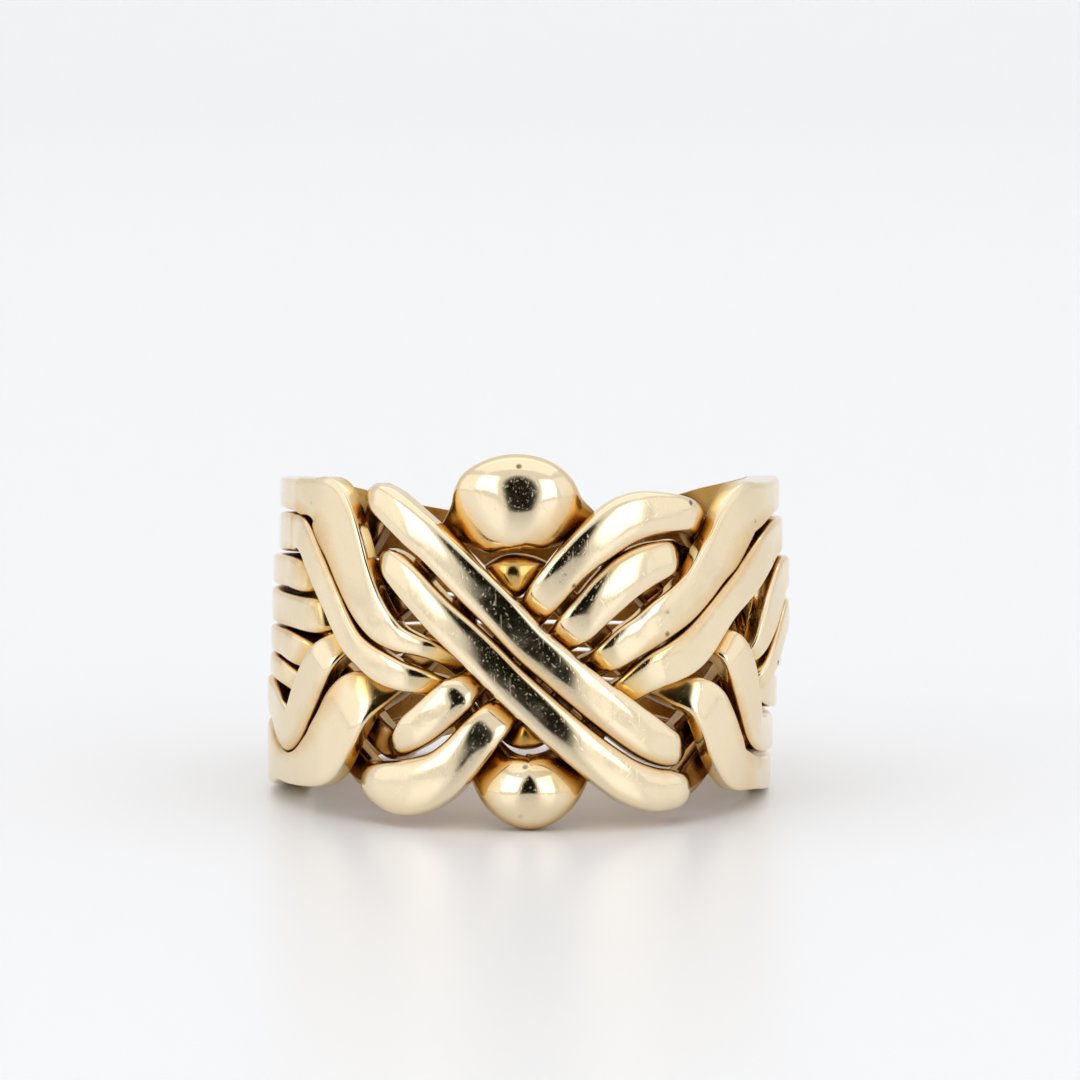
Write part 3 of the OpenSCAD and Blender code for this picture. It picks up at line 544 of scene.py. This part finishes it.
under_lower_run = [
    [-92, -0.19, 0.64, TRIM, 0.90, 1.0],
    [-74, -0.22, 0.67, TRIM, 0.97, 1.0],
    [-68, -0.29, 0.67, TRIM, 0.75, 0.8],
    [-63, -0.39, 0.67, TRIM, 0.46, 0.5],
    [-57, -0.53, 0.75, TRIM, 0.44, 0.4],
    [-51, -0.68, 0.83, TRIM, 0.44, 0.4],
    [-45, -0.80, 0.86, TRIM, 0.44, 0.4],
    [-41.5, -0.845, 0.86, TRIM, 0.55, 0.3],
    [-38, -0.87, 1.05, 0.02, 0.85, 0.2],
    [-34, -0.885, 1.27, 0.25, 1.05, 0.2],
    [-29.5, -0.90, 1.46, 0.38, 1.12, 0.3],
    [-24.5, -0.88, 1.50, 0.42, 1.15, 0.3],
    [-19, -0.81, 1.36, 0.48, 1.15, 0.3],
    [-15, -0.705, 1.20, 0.50, 1.12, 0.3],
    [-10.5, -0.555, 1.10, 0.50, 1.06, 0.3],
    [-8, -0.48, 1.02, 0.46, 0.92, 0.3],
    [-6.3, -0.425, 0.90, 0.42, 0.74, 0.3],
    [-4.8, -0.375, 0.74, 0.28, 0.54, 0.2],
    [-2.8, -0.305, 0.81, TRIM, 0.46, 0.3],
    [0, -0.22, 0.81, TRIM, 0.44, 0.3],
    [5, -0.07, 0.81, TRIM, 0.46, 0.3],
    [6.5, -0.015, 0.76, 0.08, 0.56, 0.3],
    [8.2, 0.04, 0.88, 0.38, 0.82, 0.3],
    [10.5, 0.105, 1.04, 0.47, 1.02, 0.3],
    [14, 0.21, 1.12, 0.50, 1.08, 0.3],
    [17, 0.295, 1.20, 0.50, 1.10, 0.3],
    [21, 0.39, 1.24, 0.50, 1.10, 0.3],
    [26, 0.465, 1.18, 0.50, 1.08, 0.3],
    [31, 0.505, 1.00, 0.46, 1.02, 0.3],
    [34.2, 0.525, 0.84, 0.18, 0.76, 0.2],
    [37.5, 0.515, 0.76, TRIM, 0.50, 0.3],
    [41, 0.475, 0.81, TRIM, 0.46, 0.4],
    [46, 0.40, 0.83, TRIM, 0.44, 0.4],
    [51, 0.30, 0.83, TRIM, 0.44, 0.4],
    [56, 0.15, 0.77, TRIM, 0.42, 0.4],
    [62, -0.04, 0.70, TRIM, 0.32, 0.4],
    [67, -0.21, 0.70, TRIM, 0.38, 0.4],
    [72, -0.31, 0.75, TRIM, 0.46, 0.6],
    [79, -0.36, 0.83, TRIM, 0.62, 0.9],
    [92, -0.375, 0.89, TRIM, 0.70, 1.0],
]
band_piece("under_lower_strand", "under_band_lower", 5, under_lower_run)

# The two arch bands. They climb out of the lower shoulders, pass deep inside the knot and show
# again as a large and a small round boss at its top.

arch_big_run = [
    [-92, -0.38, 0.92, TRIM, 1.00, 1.0],
    [-80, -0.43, 1.00, TRIM, 1.00, 1.0],
    [-72, -0.53, 1.10, 0.45, 1.00, 1.0],
    [-67.5, -0.585, 1.15, 0.50, 1.00, 1.0],
    [-64, -0.55, 1.20, 0.50, 1.00, 0.9],
    [-60.5, -0.43, 1.24, 0.50, 1.00, 0.9],
    [-57.5, -0.315, 1.24, 0.50, 1.00, 0.8],
    [-54.3, -0.205, 1.16, 0.50, 1.00, 0.8],
    [-51.8, -0.12, 1.02, 0.45, 0.98, 0.7],
    [-49.5, -0.055, 0.82, 0.15, 0.78, 0.5],
    [-47, -0.01, 0.79, TRIM, 0.50, 0.4],
    [-44, 0.04, 0.71, TRIM, 0.44, 0.4],
    [-40, 0.10, 0.68, TRIM, 0.44, 0.4],
    [-35, 0.19, 0.72, TRIM, 0.44, 0.4],
    [-31, 0.285, 0.77, TRIM, 0.38, 0.4],
    [-27, 0.41, 0.79, TRIM, 0.40, 0.4],
    [-22, 0.56, 0.83, TRIM, 0.44, 0.4],
    [-18.5, 0.66, 0.87, TRIM, 0.46, 0.3],
    [-15.5, 0.71, 1.30, TRIM, 0.62, 0.3],
    [-12.5, 0.745, 1.94, TRIM, 0.84, 0.3],
    [-9, 0.805, 2.36, TRIM, 1.06, 0.25],
    [-4, 0.85, 2.48, TRIM, 1.20, 0.15],
    [1, 0.84, 2.38, TRIM, 1.18, 0.15],
    [5.5, 0.785, 2.02, TRIM, 1.00, 0.2],
    [9.5, 0.74, 1.38, TRIM, 0.69, 0.2],
    [13.5, 0.695, 0.98, TRIM, 0.50, 0.3],
    [17, 0.615, 0.89, TRIM, 0.44, 0.4],
    [22, 0.50, 0.83, TRIM, 0.44, 0.4],
    [27, 0.38, 0.83, TRIM, 0.44, 0.4],
    [32, 0.26, 0.83, TRIM, 0.44, 0.4],
    [37, 0.16, 0.83, TRIM, 0.44, 0.4],
    [42, 0.08, 0.83, TRIM, 0.44, 0.4],
    [45.5, 0.035, 0.85, TRIM, 0.46, 0.4],
    [48, -0.015, 0.78, 0.08, 0.62, 0.5],
    [50.5, -0.065, 1.00, 0.42, 0.97, 0.7],
    [53, -0.155, 1.14, 0.50, 1.00, 0.8],
    [55, -0.275, 1.18, 0.50, 1.00, 0.8],
    [57, -0.41, 1.10, 0.50, 0.97, 0.9],
    [60, -0.545, 1.06, 0.50, 0.90, 1.0],
    [66, -0.61, 0.95, 0.30, 0.76, 1.0],
    [75, -0.625, 0.94, TRIM, 0.65, 1.0],
    [92, -0.625, 0.94, TRIM, 0.60, 1.0],
]
band_piece("arch_big_strand", "arch_band_big", 6, arch_big_run)

arch_small_run = [
    [-92, -0.75, 1.80, TRIM, 1.00, 1.0],
    [-80, -0.775, 1.50, TRIM, 1.00, 1.0],
    [-73, -0.805, 1.00, 0.15, 1.00, 1.0],
    [-67.5, -0.825, 0.86, 0.40, 1.00, 1.0],
    [-62, -0.815, 1.00, 0.50, 1.00, 0.9],
    [-56, -0.765, 1.42, 0.50, 1.00, 0.9],
    [-51.5, -0.70, 1.68, 0.50, 1.00, 0.9],
    [-47.5, -0.565, 1.62, 0.50, 1.00, 0.8],
    [-44.5, -0.44, 1.60, 0.48, 0.98, 0.7],
    [-42, -0.365, 1.48, 0.42, 0.92, 0.6],
    [-39.5, -0.33, 1.24, 0.32, 0.82, 0.6],
    [-36.5, -0.295, 0.96, 0.05, 0.60, 0.5],
    [-33.5, -0.245, 0.87, TRIM, 0.46, 0.4],
    [-29, -0.14, 0.83, TRIM, 0.42, 0.4],
    [-24, -0.015, 0.81, TRIM, 0.40, 0.4],
    [-18, 0.14, 0.83, TRIM, 0.42, 0.4],
    [-12, 0.285, 0.92, TRIM, 0.44, 0.4],
    [-8, 0.36, 1.10, TRIM, 0.58, 0.2],
    [-4, 0.402, 1.18, TRIM, 0.73, 0.1],
    [0, 0.412, 1.00, TRIM, 0.60, 0.1],
    [3.5, 0.37, 0.92, TRIM, 0.44, 0.2],
    [7, 0.28, 0.81, TRIM, 0.36, 0.4],
    [13, 0.13, 0.81, TRIM, 0.38, 0.4],
    [19, -0.015, 0.77, TRIM, 0.34, 0.4],
    [25, -0.15, 0.75, TRIM, 0.40, 0.4],
    [30, -0.245, 0.80, TRIM, 0.44, 0.4],
    [33.5, -0.29, 0.76, TRIM, 0.52, 0.4],
    [36.5, -0.325, 0.83, 0.10, 0.70, 0.5],
    [39.5, -0.345, 1.02, 0.42, 0.94, 0.6],
    [42.8, -0.41, 1.26, 0.50, 1.00, 0.7],
    [45.4, -0.52, 1.32, 0.50, 1.00, 0.8],
    [48.4, -0.675, 1.36, 0.50, 0.98, 0.9],
    [52, -0.79, 1.26, 0.50, 0.93, 1.0],
    [58, -0.83, 1.04, 0.30, 0.84, 1.0],
    [66, -0.855, 0.94, TRIM, 0.68, 1.0],
    [75, -0.875, 0.89, TRIM, 0.60, 1.0],
    [92, -0.875, 0.92, TRIM, 0.55, 1.0],
]
band_piece("arch_small_strand", "arch_band_small", 7, arch_small_run)

# Painted shade in the grooves. Where two bands all but touch, the colour is painted darker,
# so every strand has a brown line along its edges, thickest where it passes under another.


def lay_contact_shade(bands):
    """For each point, the least distance to the other bands, taken from their sections: the length of
    the step to a section's middle, measured in its half width and half thickness and in steps of
    0.6 mm along the run, less 1, times the mean half size. The painted shade goes from 1 at a touch to 0 at
    1.7 times the mean radius of the point's own section.
    """
    for mesh, points, size, own in bands:
        nearest = np.full(len(points), HOLE, np.float32)
        for other, _, _, sections in bands:
            if other is mesh:
                continue
            middle, across, out, half_width, half_thick, _ = sections
            along = np.cross(out, across)
            far = 0.0
            for direction, half in ((across, half_width), (out, half_thick), (along, 0.6)):
                far = far + ((points @ direction.T - np.sum(middle * direction, 1)) / half) ** 2
            gap = (np.sqrt(far) - 1) * (half_width + half_thick) / 2
            nearest = np.minimum(nearest, gap.min(axis=1))
        # The painted shade near the touches of other bands, kept on each point.
        grime = np.clip(1 - nearest / (1.7 * size), 0, 1).astype(np.float32)
        mesh.attributes.new("grime", "FLOAT", "POINT").data.foreach_set("value", grime)


lay_contact_shade(laid_bands)

# The studio: a seamless pale table that curves up behind the ring, white panels on both sides
# and above it, and a dark card in front, by the camera, that only reflections see.


def sweep_table():
    """A sheet 1.6 m wide. Its section runs flat along the table, then up a quarter circle."""
    bend = np.linspace(0, np.pi / 2, 24)
    y = np.concatenate([[-1.2], 0.5 + 0.4 * np.sin(bend), [0.9]])
    z = np.concatenate([[0.0], 0.4 - 0.4 * np.cos(bend), [1.6]])
    x = np.array([-1.6, 1.6])
    points = np.stack(np.broadcast_arrays(x[:, None], y[None], z[None]), -1).reshape(-1, 3)
    n = len(y)
    k = np.arange(n - 1)
    faces = np.stack([k, n + k, n + k + 1, k + 1], -1)
    mesh = bpy.data.meshes.new("table")
    mesh.from_pydata(points, [], faces.tolist())
    mesh.polygons.foreach_set("use_smooth", np.ones(len(faces), bool))
    table = bpy.data.objects.new("table", mesh)
    bpy.context.scene.collection.objects.link(table)
    paper = Sheet("pale_paper")
    shader = paper.node("ShaderNodeBsdfPrincipled", {},
                        {"Base Color": (0.88, 0.885, 0.90, 1), "Roughness": 0.33})[0]
    paper.node("ShaderNodeOutputMaterial", {}, {"Surface": shader})
    mesh.materials.append(paper.material)


sweep_table()


def panel(name, place, aim, size, strength):
    """A flat white light of a size, which faces the point aim."""
    light = bpy.data.lights.new(name, "AREA")
    light.shape = "RECTANGLE"
    light.size, light.size_y = size
    light.energy = strength
    lamp = bpy.data.objects.new(name, light)
    bpy.context.scene.collection.objects.link(lamp)
    lamp.location = place
    away = np.array(place) - np.array(aim)
    lamp.rotation_euler = (np.arctan2(np.hypot(away[0], away[1]), away[2]), 0,
                           np.arctan2(away[0], -away[1]))


panel("panel_above", (0.0, 0.02, 0.6), (0, 0, 0), (1.1, 0.9), 1.0)
panel("panel_behind", (0.0, 0.30, 0.75), (0, 0.95, 0.35), (1.2, 0.3), 0.9)
panel("panel_left", (-0.6, -0.10, 0.22), (0, 0, 0), (0.6, 0.42), 0.22)
panel("panel_right", (0.6, -0.10, 0.22), (0, 0, 0), (0.6, 0.42), 0.15)
panel("flash_left", (-0.26, -0.28, 0.14), (0, 0, 0), (0.16, 0.20), 0.13)
panel("flash_right", (0.22, -0.29, 0.12), (0, 0, 0), (0.15, 0.20), 0.11)

world = bpy.data.worlds.new("white_room")
bpy.context.scene.world = world
world.use_nodes = True
world.node_tree.nodes["Background"].inputs["Color"].default_value = (1.0, 1.0, 1.0, 1)
world.node_tree.nodes["Background"].inputs["Strength"].default_value = 0.85


def dark_panel():
    """A sheet of dark card with soft edges, which only reflections see. It stands where the camera is,
    a little to the left. Its lower part is brown, and it thins out to nothing at its rim.
    """
    wide, high = 0.135, 0.20
    left, front, up = -0.015, -0.30, 0.06
    mesh = bpy.data.meshes.new("dark_panel")
    corners = np.array([[-wide, 0, -high], [wide, 0, -high], [wide, 0, high], [-wide, 0, high]])
    mesh.from_pydata(corners + [left, front, up], [], [[0, 1, 2, 3]])
    card = bpy.data.objects.new("dark_panel", mesh)
    bpy.context.scene.collection.objects.link(card)
    felt = Sheet("dark_card")
    place = felt.node("ShaderNodeTexCoord", {}, {})[3]
    from_camera = felt.node("ShaderNodeMapping", {},
                            {"Vector": place, "Location": (-left / wide, 0.0, -up / high),
                             "Scale": (1 / wide, 0.0, 1 / high)})[0]
    away = felt.node("ShaderNodeVectorMath", {"operation": "LENGTH"}, {0: from_camera})[1]
    height = felt.node("ShaderNodeSeparateXYZ", {}, {0: from_camera})[2]
    cloth = felt.blend(felt.spread(height, -0.9, -0.2), (0.10, 0.040, 0.010, 1), (0.006, 0.006, 0.002, 1))
    glow = felt.blend(felt.spread(away, 0.74, 1.0), cloth, (0.60, 0.57, 0.52, 1))
    emission = felt.node("ShaderNodeEmission", {}, {"Color": glow})[0]
    clear = felt.node("ShaderNodeBsdfTransparent", {}, {})[0]
    shader = felt.node("ShaderNodeMixShader", {}, {0: felt.spread(away, 0.9, 1.0), 1: emission, 2: clear})[0]
    felt.node("ShaderNodeOutputMaterial", {}, {"Surface": shader})
    mesh.materials.append(felt.material)
    card.visible_camera = False
    card.visible_diffuse = False
    card.visible_shadow = False


dark_panel()


def photograph_camera():
    """A long lens 292 mm from the ring's axis, 2.5 degrees above the plane across the bands."""
    distance, pixels_a_metre = 0.292, 21900
    frame_size, middle_x, middle_y = 1080, 529.5, 631
    hole = frame["record"]["mounts"][0]
    rise = np.arctan2(hole["axis"][1], hole["axis"][2]) + np.radians(2.5)
    view = bpy.data.cameras.new("camera")
    view.sensor_width = 36.0
    view.lens = pixels_a_metre * distance / frame_size * view.sensor_width
    view.shift_x = (frame_size / 2 - middle_x) / frame_size
    view.shift_y = (middle_y - frame_size / 2) / frame_size
    view.clip_start, view.clip_end = 0.01, 20
    camera = bpy.data.objects.new("camera", view)
    bpy.context.scene.collection.objects.link(camera)
    camera.location = np.array(hole["pos_m"]) + distance * np.array([0, -np.cos(rise), np.sin(rise)])
    camera.rotation_euler = (np.pi / 2 - rise, 0, 0)
    bpy.context.scene.camera = camera
    bpy.context.scene.view_settings.view_transform = "Standard"


photograph_camera()
